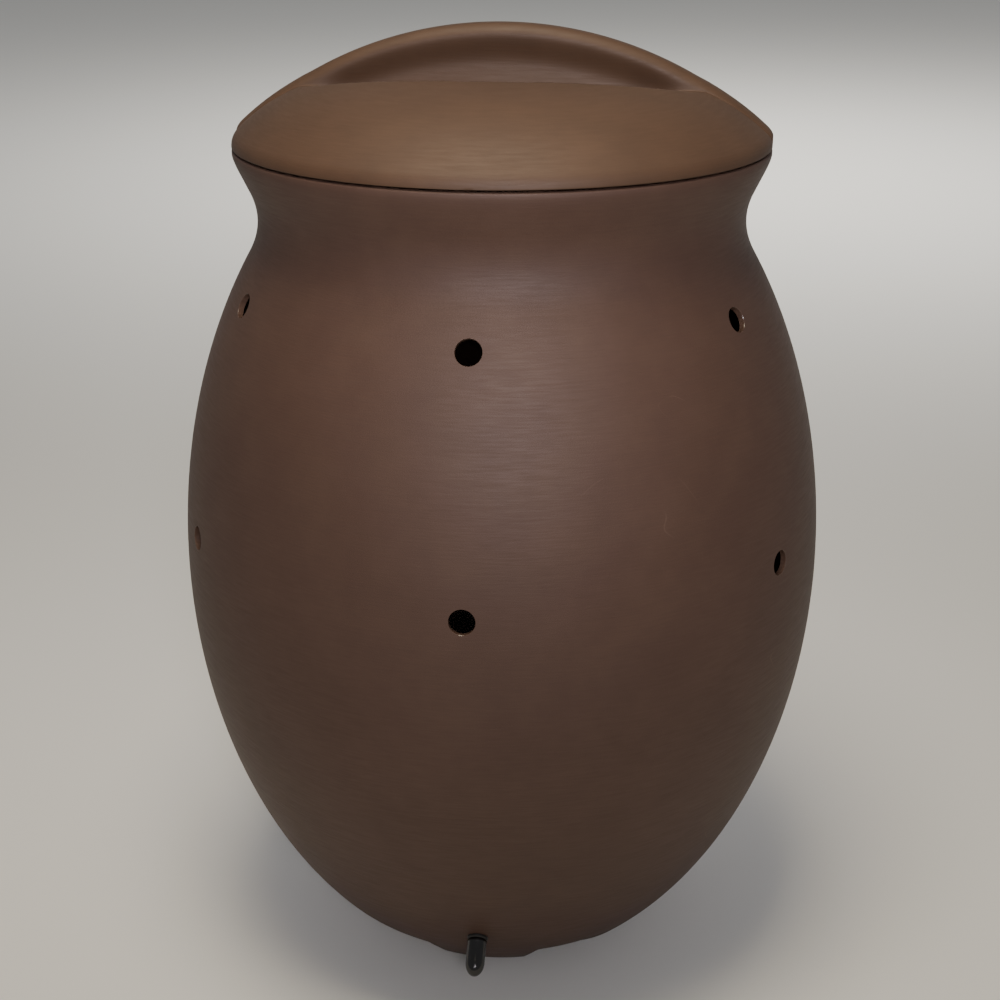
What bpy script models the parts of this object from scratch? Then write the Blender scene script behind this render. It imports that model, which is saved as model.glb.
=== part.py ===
"""Rolling compost tumbler: an egg-shaped moulded vessel with a screw lid and a capped drain.

Metres, +Z up. The origin is the centre of the foot circle, on the ground. The front, with the drain
and one column of air vents, faces -Y. Run with: blender --background --python part.py
"""

import math

import bmesh
import bpy
from mathutils import Matrix, Vector

# Driving dimensions of the vessel
BELLY_RADIUS = 0.300  # widest outer radius
BELLY_HALF_HEIGHT = 0.4395  # vertical half axis of the egg
FOOT_RADIUS = 0.122  # outer edge of the flat foot circle
FOOT_INNER_RADIUS = 0.088  # where the foot circle ends and the raised middle begins
BOTTOM_RISE = 0.012  # height of the raised middle of the bottom
WALL = 0.005  # moulded wall of the vessel and of the lid cover
NECK_HEIGHT = 0.0976  # from there to the seam under the lid
FLARE_HEIGHT = 0.035  # straight flare under the seam
FLARE_SLOPE = 0.468  # radius gained per height in the flare
RIM_RADIUS = 0.2385  # outer radius of the vessel's rim and of the lid
NECK_INSET = 0.0092  # the egg hands over to the neck this far inside the rim
EGG_TOP_RADIUS = RIM_RADIUS - NECK_INSET
SEAM_GAP = 0.002  # open seam between rim and lid
RIM_BAND = 0.007  # upright band at the top of the flare

# Six feet with shallow grooves between them, in line with the vents
FOOT_COUNT = 6
FOOT_HALF_ANGLE = math.radians(18)
GROOVE_EDGE_ANGLE = math.radians(6)
GROOVE_DEPTH = 0.007
GROOVE_OUTER_RADIUS = 0.195  # where the grooves have faded out

# Air vents: two rows, drilled square to the wall
VENT_RADIUS = 0.011
VENTS_PER_ROW = 6
VENT_ROWS = (0.048, 0.256)  # heights above the widest place

# Mouth ring: injection-moulded, screwed on a shelf inside the rim
LAND_WIDTH = 0.0115  # top of the rim, outside the shelf
SHELF_DROP = 0.0045  # from the rim's top down to the shelf
PLATE = 0.004  # flange and wall of both rings
MOUTH_INSET = 0.048  # from the rim's outer face to the bore of the mouth ring
MOUTH_BORE = RIM_RADIUS - MOUTH_INSET
MOUTH_RING_DEPTH = 0.048
SLACK = 0.0003  # gap kept between pieces that touch
LOOSE = 0.001  # radial room round a piece that drops in

# Lugs: a six-start quick thread between the mouth ring and the lid ring
STARTS = 6
LEAD = 0.120  # rise in one turn
LUG_ANGLE = math.radians(44)
LUG_HEIGHT = 0.007
LUG_REACH = 0.0062  # how far a lug stands out of its ring
LUG_RUN = 0.0005  # play between the faces of two engaged lugs
LUG_STEPS = 8
LUG_CLEARANCE = 0.0018  # from a lug's top to the wall of the other ring
RING_GAP = LUG_REACH + LUG_CLEARANCE
LID_LUG_LIFT = 0.0025  # from the lid ring's lower edge to its lugs

# Lid cover: a low dome, with a ridge across it that is its grip and a finger scoop on each side
DOME_HEIGHT = 0.0655  # top of the low dome above the seam
DOME_OVERRUN = 0.008  # the dome would come down to the seam this far outside the rim
DOME_SPAN = RIM_RADIUS + DOME_OVERRUN
DOME_POWER = 4.0  # how late the dome falls away towards its edge
EDGE_RADIUS = 0.0155  # round edge above the seam
RIDGE_HEIGHT = 0.1025  # top of the ridge above the seam
RIDGE_CURVE = 0.353  # radius of the ridge's arc
RIDGE_HALF_WIDTH = 0.017
SCOOP_INSET = 0.0605  # from the rim to the end of a scoop
SCOOP_REACH = (RIM_RADIUS - SCOOP_INSET, 0.078, 0.030)  # half length, width and depth of a scoop
SEAT_RISE = 0.0055  # from the lid's lower edge up to the seat of its ring
SEAL_WIDTH = 0.012
SEAL_STEP = 0.008  # from the bore of the mouth ring out to the seal
SEAL_INNER_RADIUS = MOUTH_BORE + SEAL_STEP

# Fasteners of both rings
SCREW_COUNT = 6
SCREW_RADIUS = 0.0024
HEAD_REACH = 0.0022  # how far a head stands out round its screw
HEAD_RADIUS = SCREW_RADIUS + HEAD_REACH
HEAD_HEIGHT = 0.0024
NUT_WALL = 0.0016  # a nut's thickness round its screw, at the flats
NUT_FLATS = 2 * (SCREW_RADIUS + NUT_WALL)
NUT_HEIGHT = 0.0045
SCREW_SPARE = 0.004  # how far a screw passes out of its nut
SCREW_LENGTH = PLATE + WALL + NUT_HEIGHT + SCREW_SPARE
HOLE_SLACK = 0.0005
LID_SCREW_STEP = 0.0065  # from the wall of the lid ring out to its circle of screws
MOUTH_SCREW_STEP = 0.009  # from the shelf's outer edge in to its circle of screws

# Drain: a threaded nipple low on the front, with a push-on cap
DRAIN_HEIGHT = 0.086
BARREL_RADIUS = 0.0070
NIPPLE_FLANGE_RADIUS = BARREL_RADIUS + 0.0025
NIPPLE_FLANGE = 0.0025
SPOUT_RADIUS = 0.0055
SPOUT_LENGTH = 0.022
DRAIN_BORE = 0.0038
GASKET = 0.0015
GASKET_RADIUS = BARREL_RADIUS + 0.0055
LOCKNUT_FLATS = 2 * BARREL_RADIUS + 0.010
LOCKNUT_HEIGHT = 0.006
BARREL_SPARE = 0.0115  # how far the threaded barrel passes out of its nut
CAP_GRIP = 0.0004  # from the spout to the cap's bore
CAP_WALL = 0.0033
CAP_RADIUS = SPOUT_RADIUS + CAP_GRIP + CAP_WALL
CAP_LENGTH = SPOUT_LENGTH + 0.012
STRAINER_RADIUS = BARREL_RADIUS + 0.0035
STRAINER_WALL = 0.0018
STRAINER_LENGTH = 0.022
STRAINER_SLOTS = 6
SLOT_WIDTH = 0.0022

TURN_STEPS = 48
SMALL_STEPS = 20
CUT_OVER = 0.004  # how far a cutter runs past what it cuts

# Heights and places that follow from the sizes above
BELLY_Z = BELLY_HALF_HEIGHT * math.sqrt(1 - (FOOT_RADIUS / BELLY_RADIUS) ** 2)
EGG_TOP_Z = BELLY_Z + BELLY_HALF_HEIGHT * math.sqrt(1 - (EGG_TOP_RADIUS / BELLY_RADIUS) ** 2)
SEAM_Z = EGG_TOP_Z + NECK_HEIGHT
RIM_Z = SEAM_Z - SEAM_GAP / 2
SHELF_Z = RIM_Z - SHELF_DROP
SHELF_INNER = MOUTH_BORE + PLATE + LOOSE
SHELF_OUTER = RIM_RADIUS - LAND_WIDTH
MOUTH_RING_TOP = SHELF_Z + SLACK + PLATE
MOUTH_RING_BOTTOM = MOUTH_RING_TOP - MOUTH_RING_DEPTH
LID_Z = SEAM_Z + SEAM_GAP / 2
SEAT_Z = LID_Z + SEAT_RISE
LID_RING_TOP = SEAT_Z - SLACK
LID_FLANGE_Z = LID_RING_TOP - PLATE
LID_RING_OUTER = MOUTH_BORE - RING_GAP
LID_RING_BORE = LID_RING_OUTER - PLATE
LID_SCREW_RADIUS = LID_RING_OUTER + LID_SCREW_STEP
MOUTH_SCREW_RADIUS = SHELF_OUTER - MOUTH_SCREW_STEP
LID_RING_BOTTOM = MOUTH_RING_BOTTOM + LUG_RUN
LID_LUG_Z = LID_RING_BOTTOM + LID_LUG_LIFT
MOUTH_LUG_Z = LID_LUG_Z + LUG_HEIGHT + LUG_RUN
LID_HOLE_RADIUS = LID_RING_BORE + 2 * LOOSE
DRAIN_WALL_RADIUS = BELLY_RADIUS * math.sqrt(1 - ((DRAIN_HEIGHT - BELLY_Z) / BELLY_HALF_HEIGHT) ** 2)
FACET_DEPTH = DRAIN_WALL_RADIUS * (1 - math.cos(math.pi / TURN_STEPS))
# The gasket is flat and the wall behind it is curved, so its seat stands off by the curve and a facet
NUT_SEAT = WALL + GASKET_RADIUS**2 / DRAIN_WALL_RADIUS + 2 * FACET_DEPTH + SLACK
BARREL_END = NUT_SEAT + GASKET + LOCKNUT_HEIGHT + BARREL_SPARE

BROWN = (0.085, 0.050, 0.036)
DARK_BROWN = (0.060, 0.040, 0.032)
BLACK = (0.012, 0.012, 0.013)
STEEL = (0.55, 0.55, 0.56)


def clear_scene():
    for obj in list(bpy.data.objects):
        bpy.data.objects.remove(obj)


def new_collection(name):
    collection = bpy.data.collections.new(name)
    bpy.context.scene.collection.children.link(collection)
    return collection


def paint(obj, colour, roughness, metallic=0.0):
    """Gives a piece its own Principled material."""
    material = bpy.data.materials.new(obj.name)
    material.use_nodes = True
    shader = material.node_tree.nodes["Principled BSDF"]
    shader.inputs["Base Color"].default_value = (*colour, 1)
    shader.inputs["Roughness"].default_value = roughness
    shader.inputs["Metallic"].default_value = metallic
    material.diffuse_color = (*colour, 1)
    obj.data.materials.append(material)


def add_object(name, mesh, collection, place=Matrix.Identity(4)):
    """Links a mesh as an object. A piece in the cutters' collection is hidden."""
    obj = bpy.data.objects.new(name, mesh)
    collection.objects.link(obj)
    obj.matrix_world = place
    obj.hide_render = collection.name == "cutters"
    obj.display_type = "WIRE" if obj.hide_render else "TEXTURED"
    return obj


def smooth(mesh):
    mesh.shade_smooth()
    mesh.set_sharp_from_angle(angle=math.radians(35))


def turned(name, outline, collection, steps=TURN_STEPS, place=Matrix.Identity(4)):
    """Turns (radius, height) points round Z. They run down the outer side and back up the inner one."""
    closed = outline[0][0] > 0 or outline[-1][0] > 0
    count = len(outline)
    edges = [(i, (i + 1) % count) for i in range(count if closed else count - 1)]
    mesh = bpy.data.meshes.new(name)
    mesh.from_pydata([(r, 0, z) for r, z in outline], edges, [])
    obj = add_object(name, mesh, collection, place)
    screw = obj.modifiers.new("turn", "SCREW")
    screw.axis = "Z"
    screw.steps = screw.render_steps = steps
    screw.use_merge_vertices = True
    screw.merge_threshold = 0.00001
    return obj


def ring(name, inner, outer, low, high, collection, steps=TURN_STEPS, place=Matrix.Identity(4)):
    """A plain ring of rectangular section."""
    outline = [(outer, high), (outer, low), (inner, low), (inner, high)]
    return turned(name, outline, collection, steps, place)


def cylinder(bm, radius, low, high, sides, place):
    """Adds a capped cylinder along the place's Z, from low to high."""
    shift = place @ Matrix.Translation((0, 0, (low + high) / 2))
    bmesh.ops.create_cone(
        bm, cap_ends=True, segments=sides, radius1=radius, radius2=radius, depth=high - low, matrix=shift
    )


def from_bmesh(name, bm, collection):
    bmesh.ops.recalc_face_normals(bm, faces=bm.faces)
    mesh = bpy.data.meshes.new(name)
    bm.to_mesh(mesh)
    bm.free()
    return add_object(name, mesh, collection)


def combine(obj, other, operation="DIFFERENCE"):
    """Cuts obj with another solid, or joins the two."""
    modifier = obj.modifiers.new(other.name, "BOOLEAN")
    modifier.operation = operation
    modifier.solver = "EXACT"
    modifier.object = other


def bake(obj):
    """Turns an object's modifiers into mesh, shaded smooth."""
    graph = bpy.context.evaluated_depsgraph_get()
    mesh = bpy.data.meshes.new_from_object(obj.evaluated_get(graph))
    obj.modifiers.clear()
    obj.data = mesh
    smooth(mesh)


def around(count, first=0.0):
    """Rotations about Z, evenly spaced, starting at an angle from the front."""
    return [Matrix.Rotation(first + math.tau * i / count, 4, "Z") for i in range(count)]


# Vessel


def egg_radius(z):
    """Radius of the egg's outer face at a height."""
    share = (z - BELLY_Z) / BELLY_HALF_HEIGHT
    return BELLY_RADIUS * math.sqrt(1 - share * share)


def wall_place(z):
    """A frame on the egg's front at a height, with its Z square to the wall, outwards."""
    radial = egg_radius(z) / BELLY_RADIUS**2
    vertical = (z - BELLY_Z) / BELLY_HALF_HEIGHT**2
    tilt = Matrix.Rotation(math.atan2(radial, vertical), 4, "X")
    return Matrix.Translation((0, -egg_radius(z), z)) @ tilt


def meet(point, direction, other, other_direction):
    """Where two lines in the section meet."""
    cross = direction[0] * other_direction[1] - direction[1] * other_direction[0]
    gap = (other[0] - point[0], other[1] - point[1])
    t = (gap[0] * other_direction[1] - gap[1] * other_direction[0]) / cross
    return point[0] + t * direction[0], point[1] + t * direction[1]


def vessel_outline():
    """Outer face of the vessel from the foot circle up to the rim, as (radius, height)."""
    low = math.asin(-BELLY_Z / BELLY_HALF_HEIGHT)
    high = math.asin((EGG_TOP_Z - BELLY_Z) / BELLY_HALF_HEIGHT)
    points = []
    for i in range(15):
        angle = low + (high - low) * i / 14
        points.append((BELLY_RADIUS * math.cos(angle), BELLY_Z + BELLY_HALF_HEIGHT * math.sin(angle)))
    start = Vector(points[-1])
    end = Vector((RIM_RADIUS - FLARE_SLOPE * (FLARE_HEIGHT - RIM_BAND), RIM_Z - FLARE_HEIGHT))
    radial = start.x / BELLY_RADIUS**2
    vertical = (start.y - BELLY_Z) / BELLY_HALF_HEIGHT**2
    bend = Vector(meet(start, (-vertical, radial), end, (FLARE_SLOPE, 1.0)))
    for i in range(1, 6):
        t = i / 5
        points.append(tuple((1 - t) ** 2 * start + 2 * t * (1 - t) * bend + t * t * end))
    points.append((RIM_RADIUS, RIM_Z - RIM_BAND))
    return points


def set_in(points, distance):
    """The same outline moved inwards by a wall, square to itself."""
    moved = []
    for i, (r, z) in enumerate(points):
        before, after = points[max(0, i - 1)], points[min(len(points) - 1, i + 1)]
        along = Vector((after[0] - before[0], after[1] - before[1])).normalized()
        moved.append((r - along.y * distance, z + along.x * distance))
    return moved


def vessel_section():
    """Closed section of the vessel's wall: up the outside, over the shelf and down the inside."""
    outside = vessel_outline()
    inside = [p for p in set_in(outside, WALL)[1:] if p[1] < SHELF_Z - 2 * WALL]
    recess = FOOT_INNER_RADIUS - BOTTOM_RISE
    foot = [(0, BOTTOM_RISE), (recess, BOTTOM_RISE), (FOOT_INNER_RADIUS, 0)]
    rim = [
        (RIM_RADIUS, RIM_Z),
        (SHELF_OUTER, RIM_Z),
        (SHELF_OUTER, SHELF_Z),
        (SHELF_INNER, SHELF_Z),
        (SHELF_INNER, SHELF_Z - WALL),
        (SHELF_OUTER - LOOSE, SHELF_Z - WALL),
    ]
    floor = [
        (FOOT_RADIUS - WALL, WALL),
        (FOOT_INNER_RADIUS + WALL / 2, WALL),
        (recess + WALL / 2, BOTTOM_RISE + WALL),
        (0, BOTTOM_RISE + WALL),
    ]
    return foot + outside + rim + inside[::-1] + floor


def smooth_step(value, start, end):
    t = min(1.0, max(0.0, (value - start) / (end - start)))
    return t * t * (3 - 2 * t)


def press_grooves(mesh):
    """Presses the shallow grooves between the feet into both faces of the wall."""
    sector = math.tau / FOOT_COUNT
    reach = math.sqrt(1 - (GROOVE_OUTER_RADIUS / BELLY_RADIUS) ** 2)
    groove_top = BELLY_Z - BELLY_HALF_HEIGHT * reach + WALL
    for vertex in mesh.vertices:
        x, y, z = vertex.co
        radius = math.hypot(x, y)
        if radius < FOOT_INNER_RADIUS - SLACK or z > groove_top:
            continue
        angle = abs((math.atan2(x, -y) + sector / 2) % sector - sector / 2)
        share = smooth_step(angle, FOOT_HALF_ANGLE, FOOT_HALF_ANGLE + GROOVE_EDGE_ANGLE)
        share *= 1 - smooth_step(radius, FOOT_RADIUS, GROOVE_OUTER_RADIUS)
        vertex.co.z += GROOVE_DEPTH * share


def make_vessel(parts, cutters):
    vessel = turned("body_shell", vessel_section()[::-1], parts)
    bake(vessel)
    press_grooves(vessel.data)
    paint(vessel, BROWN, 0.55)
    holes = bmesh.new()
    for row in VENT_ROWS:
        for turn in around(VENTS_PER_ROW):
            place = turn @ wall_place(BELLY_Z + row)
            cylinder(holes, VENT_RADIUS, -WALL - CUT_OVER, CUT_OVER, 16, place)
    drain_hole = BARREL_RADIUS + HOLE_SLACK
    cylinder(holes, drain_hole, -WALL - CUT_OVER, CUT_OVER, SMALL_STEPS, wall_place(DRAIN_HEIGHT))
    for turn in around(SCREW_COUNT, math.pi / SCREW_COUNT):
        place = turn @ Matrix.Translation((0, -MOUTH_SCREW_RADIUS, SHELF_Z))
        cylinder(holes, SCREW_RADIUS + HOLE_SLACK, -WALL - CUT_OVER, CUT_OVER / 2, 8, place)
    combine(vessel, from_bmesh("vessel_holes", holes, cutters))


# Threaded rings


def lugs(name, inner, outer, low, cutters):
    """Helical lugs: each is a square section swept up along the thread."""
    bm = bmesh.new()
    rise = LEAD * LUG_ANGLE / math.tau
    for turn in around(STARTS, -LUG_ANGLE / 2):
        corners = [(inner, low), (outer, low), (outer, low + LUG_HEIGHT), (inner, low + LUG_HEIGHT)]
        section = bm.faces.new([bm.verts.new(turn @ Vector((0, -r, z))) for r, z in corners])
        geometry = [section, *section.edges, *section.verts]
        bmesh.ops.spin(
            bm, geom=geometry, cent=(0, 0, 0), axis=(0, 0, 1), dvec=(0, 0, rise / LUG_STEPS),
            angle=LUG_ANGLE, steps=LUG_STEPS, use_merge=False,
        )
    return from_bmesh(name, bm, cutters)


def screw_places(circle, z, points_up):
    """Frames of a ring's screws, each with its Z the way the screw's point looks."""
    flip = Matrix.Identity(4) if points_up else Matrix.Rotation(math.pi, 4, "X")
    shift = Matrix.Translation((0, -circle, z)) @ flip
    return [turn @ shift for turn in around(SCREW_COUNT, math.pi / SCREW_COUNT)]


def sink_screws(ring_object, places, cutters):
    """Cuts a ring's countersunk screw holes."""
    slope = (HEAD_RADIUS - SCREW_RADIUS) / HEAD_HEIGHT
    through = SCREW_RADIUS + HOLE_SLACK
    outline = [
        (0, PLATE + CUT_OVER),
        (through, PLATE + CUT_OVER),
        (through, HEAD_HEIGHT),
        (HEAD_RADIUS + HOLE_SLACK + slope * CUT_OVER / 4, -CUT_OVER / 4),
        (0, -CUT_OVER / 4),
    ]
    for i, place in enumerate(places):
        cutter = turned(f"{ring_object.name}_hole_{i}", outline, cutters, 8, place)
        combine(ring_object, cutter)


def make_fasteners(name, places, nut_depth, parts, cutters):
    """The countersunk screws of a ring and the nuts behind its shelf or seat."""
    first_screw = turned(name + "_screw_1", [
        (0, SCREW_LENGTH), (SCREW_RADIUS, SCREW_LENGTH), (SCREW_RADIUS, HEAD_HEIGHT),
        (HEAD_RADIUS, SLACK), (0, SLACK),
    ], parts, 8, places[0])
    bake(first_screw)
    paint(first_screw, STEEL, 0.3, 1.0)
    body, bore = bmesh.new(), bmesh.new()
    cylinder(body, NUT_FLATS / math.sqrt(3), 0, NUT_HEIGHT, 6, Matrix.Identity(4))
    cylinder(bore, SCREW_RADIUS + SLACK, -CUT_OVER, NUT_HEIGHT + CUT_OVER, 8, Matrix.Identity(4))
    first_nut = from_bmesh(name + "_nut_1", body, parts)
    combine(first_nut, from_bmesh(name + "_nut_bore", bore, cutters))
    bake(first_nut)
    paint(first_nut, STEEL, 0.3, 1.0)
    depth = Matrix.Translation((0, 0, nut_depth))
    first_nut.matrix_world = places[0] @ depth
    for i, place in enumerate(places[1:], start=2):
        add_object(f"{name}_screw_{i}", first_screw.data, parts, place)
        add_object(f"{name}_nut_{i}", first_nut.data, parts, place @ depth)


def make_mouth_ring(parts, cutters):
    outer = SHELF_OUTER - LOOSE
    mouth_ring = turned("mouth_ring", [
        (outer, MOUTH_RING_TOP),
        (outer, MOUTH_RING_TOP - PLATE),
        (MOUTH_BORE + PLATE, MOUTH_RING_TOP - PLATE),
        (MOUTH_BORE + PLATE, MOUTH_RING_BOTTOM),
        (MOUTH_BORE, MOUTH_RING_BOTTOM),
        (MOUTH_BORE, MOUTH_RING_TOP),
    ], parts)
    paint(mouth_ring, DARK_BROWN, 0.45)
    reach = lugs("mouth_lugs", MOUTH_BORE - LUG_REACH, MOUTH_BORE + PLATE / 2, MOUTH_LUG_Z, cutters)
    combine(mouth_ring, reach, "UNION")
    places = screw_places(MOUTH_SCREW_RADIUS, MOUTH_RING_TOP, points_up=False)
    sink_screws(mouth_ring, places, cutters)
    make_fasteners("mouth", places, PLATE + WALL + 2 * SLACK, parts, cutters)


def make_lid_ring(parts, cutters):
    outer = SHELF_OUTER - LOOSE
    lid_ring = turned("lid_ring", [
        (outer, LID_RING_TOP),
        (outer, LID_FLANGE_Z),
        (LID_RING_OUTER, LID_FLANGE_Z),
        (LID_RING_OUTER, LID_RING_BOTTOM),
        (LID_RING_BORE, LID_RING_BOTTOM),
        (LID_RING_BORE, LID_RING_TOP),
    ], parts)
    paint(lid_ring, DARK_BROWN, 0.45)
    reach = lugs("lid_lugs", LID_RING_OUTER - PLATE / 2, LID_RING_OUTER + LUG_REACH, LID_LUG_Z, cutters)
    combine(lid_ring, reach, "UNION")
    places = screw_places(LID_SCREW_RADIUS, LID_FLANGE_Z, points_up=True)
    sink_screws(lid_ring, places, cutters)
    make_fasteners("lid", places, PLATE + WALL + 2 * SLACK, parts, cutters)


# Lid


def dome_slope(r):
    """Angle below the level at which the dome falls away, at a radius."""
    return math.atan(DOME_HEIGHT * DOME_POWER / DOME_SPAN * (r / DOME_SPAN) ** (DOME_POWER - 1))


def edge_start():
    """Radius at which the round edge takes over from the dome, by repeated correction."""
    r = RIM_RADIUS
    for _ in range(20):
        r = RIM_RADIUS - EDGE_RADIUS * (1 - math.sin(dome_slope(r)))
    return r


def dome(name, inset, low, collection):
    """The lid's low dome down to a height, or the same form set in by a wall."""
    last = edge_start()
    points = []
    for i in range(12):
        r = last * i / 11
        points.append((r, SEAM_Z + DOME_HEIGHT * (1 - (r / DOME_SPAN) ** DOME_POWER)))
    slope, height = dome_slope(last), points[-1][1]
    for i in range(1, 5):
        angle = slope + (math.pi / 2 - slope) * i / 4
        r = last + EDGE_RADIUS * (math.sin(angle) - math.sin(slope))
        points.append((r, height - EDGE_RADIUS * (math.cos(slope) - math.cos(angle))))
    if inset:
        points = set_in(points[::-1], inset)[::-1]
        points[0] = (0, points[0][1])
        points = [p for p in points if p[1] > low + SLACK]
    return turned(name, points + [(points[-1][0], low), (0, low)], collection)


def ridge(name, inset, cutters):
    """The grip's blade: a flat outline with an arc on top, as thick as the ridge."""
    radius = RIDGE_CURVE - inset
    centre = SEAM_Z + RIDGE_HEIGHT - RIDGE_CURVE
    foot = SEAT_Z + inset + LOOSE
    lean = math.asin((RIM_RADIUS - EDGE_RADIUS - inset) / radius)
    bm = bmesh.new()
    half_width = RIDGE_HALF_WIDTH - inset
    outline = [(radius * math.sin(lean * (i / 10 - 1)), centre + radius * math.cos(lean * (i / 10 - 1)))
               for i in range(21)]
    outline += [(outline[-1][0], foot), (outline[0][0], foot)]
    side = bm.faces.new([bm.verts.new((x, -half_width, z)) for x, z in outline])
    pulled = bmesh.ops.extrude_face_region(bm, geom=[side], use_keep_orig=True)
    moved = [g for g in pulled["geom"] if isinstance(g, bmesh.types.BMVert)]
    bmesh.ops.translate(bm, vec=(0, 2 * half_width, 0), verts=moved)
    return from_bmesh(name, bm, cutters)


def scoops(name, grow, cutters):
    """Both finger scoops: halves of a flattened ball beside the ridge."""
    bm = bmesh.new()
    length, width, depth = SCOOP_REACH
    size = Matrix.Diagonal((length + grow, width + grow, depth + grow, 1))
    for side in (-1, 1):
        ball = bmesh.new()
        bmesh.ops.create_uvsphere(ball, u_segments=28, v_segments=12, radius=1.0)
        bmesh.ops.transform(ball, matrix=size, verts=ball.verts)
        cut = bmesh.ops.bisect_plane(
            ball, geom=ball.verts[:] + ball.edges[:] + ball.faces[:], plane_co=(0, 0, 0),
            plane_no=(0, -side, 0), clear_outer=True,
        )
        rim = [g for g in cut["geom_cut"] if isinstance(g, bmesh.types.BMEdge)]
        bmesh.ops.holes_fill(ball, edges=rim)
        shift = Vector((0, side * (RIDGE_HALF_WIDTH - grow), SEAM_Z + DOME_HEIGHT))
        bmesh.ops.translate(ball, vec=shift, verts=ball.verts)
        mesh = bpy.data.meshes.new("half_ball")
        ball.to_mesh(mesh)
        ball.free()
        bm.from_mesh(mesh)
        bpy.data.meshes.remove(mesh)
    return from_bmesh(name, bm, cutters)


def make_lid_cover(parts, cutters):
    cover = dome("lid_cover", 0.0, LID_Z, parts)
    paint(cover, BROWN, 0.55)
    combine(cover, scoops("scoop_cutter", 0.0, cutters))
    combine(cover, ridge("ridge_outside", 0.0, cutters), "UNION")
    seat_top = SEAT_Z + WALL
    hollow = dome("lid_hollow", WALL, seat_top, cutters)
    combine(hollow, scoops("scoop_wall_cutter", WALL, cutters))
    combine(hollow, ridge("ridge_inside", WALL, cutters), "UNION")
    combine(cover, hollow)
    combine(cover, turned("seat_cutter", [
        (0, seat_top + CUT_OVER),
        (LID_HOLE_RADIUS, seat_top + CUT_OVER),
        (LID_HOLE_RADIUS, SEAT_Z),
        (SHELF_OUTER, SEAT_Z),
        (SHELF_OUTER, LID_Z - CUT_OVER),
        (0, LID_Z - CUT_OVER),
    ], cutters))
    holes = bmesh.new()
    for place in screw_places(LID_SCREW_RADIUS, SEAT_Z, points_up=True):
        cylinder(holes, SCREW_RADIUS + HOLE_SLACK, -CUT_OVER / 2, WALL + CUT_OVER / 2, 8, place)
    combine(cover, from_bmesh("seat_holes", holes, cutters))


def make_seal(parts):
    outer = SEAL_INNER_RADIUS + SEAL_WIDTH
    seal = ring("lid_seal", SEAL_INNER_RADIUS, outer, MOUTH_RING_TOP + SLACK, LID_FLANGE_Z - SLACK, parts)
    paint(seal, BLACK, 0.75)


# Drain


def make_drain(parts, cutters):
    place = wall_place(DRAIN_HEIGHT)
    flange_top = SLACK + NIPPLE_FLANGE
    spout_end = flange_top + SPOUT_LENGTH
    nipple = turned("drain_nipple", [
        (SPOUT_RADIUS, spout_end),
        (SPOUT_RADIUS, flange_top),
        (NIPPLE_FLANGE_RADIUS, flange_top),
        (NIPPLE_FLANGE_RADIUS, SLACK),
        (BARREL_RADIUS, SLACK),
        (BARREL_RADIUS, -BARREL_END),
        (DRAIN_BORE, -BARREL_END),
        (DRAIN_BORE, spout_end),
    ], parts, SMALL_STEPS, place)
    paint(nipple, BLACK, 0.35)

    gasket_low = -NUT_SEAT - GASKET
    fit = BARREL_RADIUS + SLACK
    gasket = ring("drain_gasket", fit, GASKET_RADIUS, gasket_low, -NUT_SEAT, parts, SMALL_STEPS, place)
    paint(gasket, BLACK, 0.75)

    nut_low = gasket_low - SLACK - LOCKNUT_HEIGHT
    body, bore = bmesh.new(), bmesh.new()
    cylinder(body, LOCKNUT_FLATS / math.sqrt(3), nut_low, nut_low + LOCKNUT_HEIGHT, 6, place)
    cylinder(bore, fit, nut_low - CUT_OVER, nut_low + LOCKNUT_HEIGHT + CUT_OVER, SMALL_STEPS, place)
    locknut = from_bmesh("drain_locknut", body, parts)
    paint(locknut, BLACK, 0.35)
    combine(locknut, from_bmesh("locknut_bore", bore, cutters))

    cap_low = flange_top + SLACK
    cap_end = cap_low + CAP_LENGTH
    shoulder = cap_end - CAP_RADIUS
    outline = [(0, cap_end)]
    for i in range(1, 5):
        angle = math.pi / 2 * i / 4
        outline.append((CAP_RADIUS * math.sin(angle), shoulder + CAP_RADIUS * math.cos(angle)))
    cap_bore = CAP_RADIUS - CAP_WALL
    outline += [(CAP_RADIUS, cap_low), (cap_bore, cap_low), (cap_bore, shoulder), (0, shoulder)]
    cap = turned("drain_cap", outline, parts, SMALL_STEPS, place)
    paint(cap, BLACK, 0.15)

    top = nut_low - SLACK
    end = top - STRAINER_LENGTH
    strainer_bore = STRAINER_RADIUS - STRAINER_WALL
    strainer = turned("drain_strainer", [
        (STRAINER_RADIUS, top),
        (STRAINER_RADIUS, end),
        (0, end),
        (0, end + STRAINER_WALL),
        (strainer_bore, end + STRAINER_WALL),
        (strainer_bore, -BARREL_END),
        (fit, -BARREL_END),
        (fit, top),
    ], parts, SMALL_STEPS, place)
    paint(strainer, BLACK, 0.35)
    slots = bmesh.new()
    low, high = end + 2 * STRAINER_WALL, -BARREL_END - STRAINER_WALL
    size = Matrix.Diagonal((SLOT_WIDTH, STRAINER_RADIUS, high - low, 1))
    shift = Matrix.Translation((0, -STRAINER_RADIUS, (low + high) / 2))
    for turn in around(STRAINER_SLOTS):
        bmesh.ops.create_cube(slots, size=1.0, matrix=place @ turn @ shift @ size)
    combine(strainer, from_bmesh("strainer_slots", slots, cutters))


def main():
    clear_scene()
    parts = new_collection("compost_tumbler")
    cutters = new_collection("cutters")
    make_vessel(parts, cutters)
    make_mouth_ring(parts, cutters)
    make_lid_cover(parts, cutters)
    make_lid_ring(parts, cutters)
    make_seal(parts)
    make_drain(parts, cutters)


main()
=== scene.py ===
import math

import bmesh
import bpy
from mathutils import Matrix, Vector


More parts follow.
